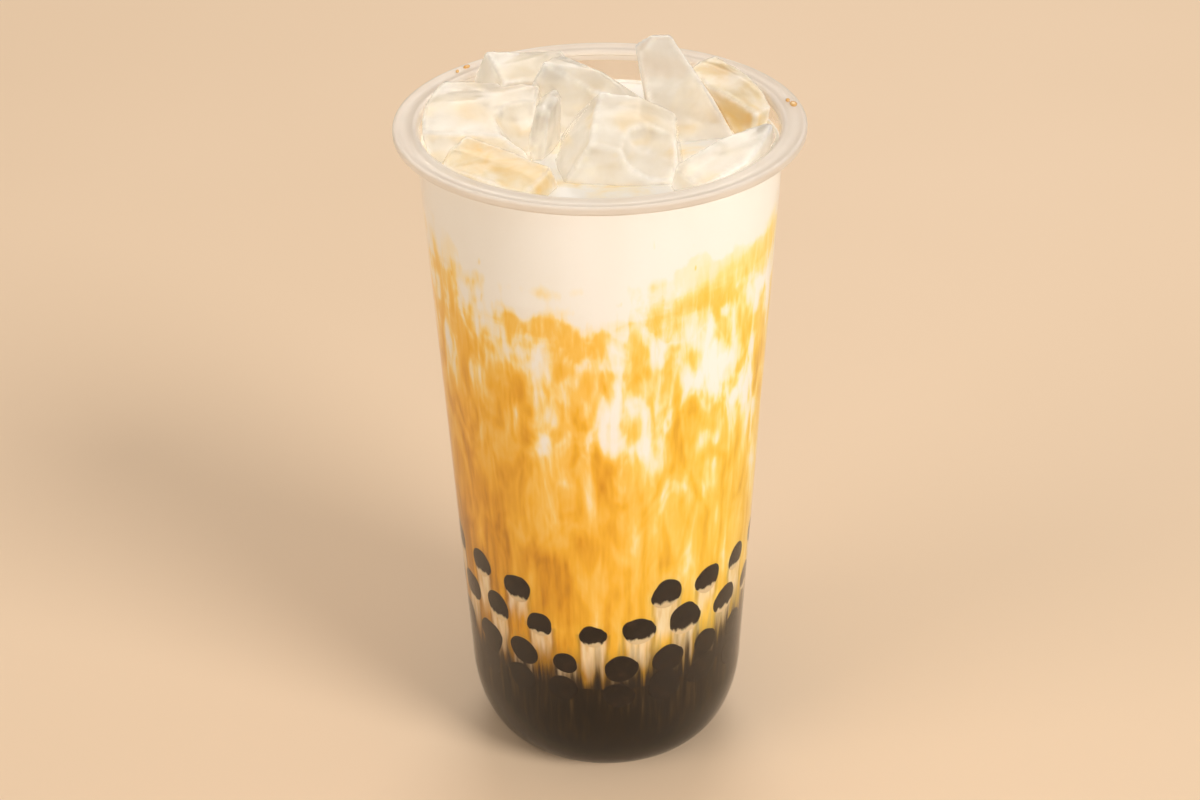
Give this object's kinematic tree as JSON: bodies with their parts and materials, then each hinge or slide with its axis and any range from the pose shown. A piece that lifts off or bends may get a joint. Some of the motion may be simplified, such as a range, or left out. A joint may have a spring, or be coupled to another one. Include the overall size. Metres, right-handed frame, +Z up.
{
  "type": "bubble tea",
  "caption": "Tall clear plastic cup of iced milk tea with dark tapioca pearls at the bottom, caramel streaks up its wall, white milk on top and ice standing above the rim.",
  "frame": {"origin": "middle of the cup's foot, on the surface it stands on", "axes": "+Z up out of the mouth, and -Y is the front that the picture shows"},
  "size_m": [0.095, 0.095, 0.1776],
  "materials": {
    "cup": "clear, slightly milky polypropylene",
    "syrup": "dark brown-sugar syrup full of pearls",
    "pearl": "wet, near-black tapioca",
    "caramel": "milk streaked with caramel-coloured syrup",
    "milk": "white milk",
    "ice": "cloudy wet ice"
  },
  "bodies": {
    "root": {"cup": "cup", "pearl_bed": "syrup", "caramel_milk": "caramel", "milk": "milk", "pearl_a01": "pearl", "pearl_a02": "pearl", "pearl_a03": "pearl", "pearl_a04": "pearl", "pearl_a05": "pearl", "pearl_a06": "pearl", "pearl_a07": "pearl", "pearl_a08": "pearl", "pearl_a09": "pearl", "pearl_a10": "pearl", "pearl_a11": "pearl", "pearl_a12": "pearl", "pearl_a13": "pearl", "pearl_a14": "pearl", "pearl_a15": "pearl", "pearl_a16": "pearl", "pearl_b01": "pearl", "pearl_b02": "pearl", "pearl_b03": "pearl", "pearl_b04": "pearl", "pearl_b05": "pearl", "pearl_b06": "pearl", "pearl_b07": "pearl", "pearl_b08": "pearl", "pearl_b09": "pearl", "pearl_b10": "pearl", "pearl_b11": "pearl", "pearl_b12": "pearl", "pearl_b13": "pearl", "pearl_b14": "pearl", "ice_centre": "ice", "ice_tall": "ice", "ice_back_left": "ice", "ice_left": "ice", "ice_front_left": "ice", "ice_right": "ice", "ice_back_right": "ice", "ice_back": "ice", "ice_sliver": "ice"}
  },
  "joints": []
}
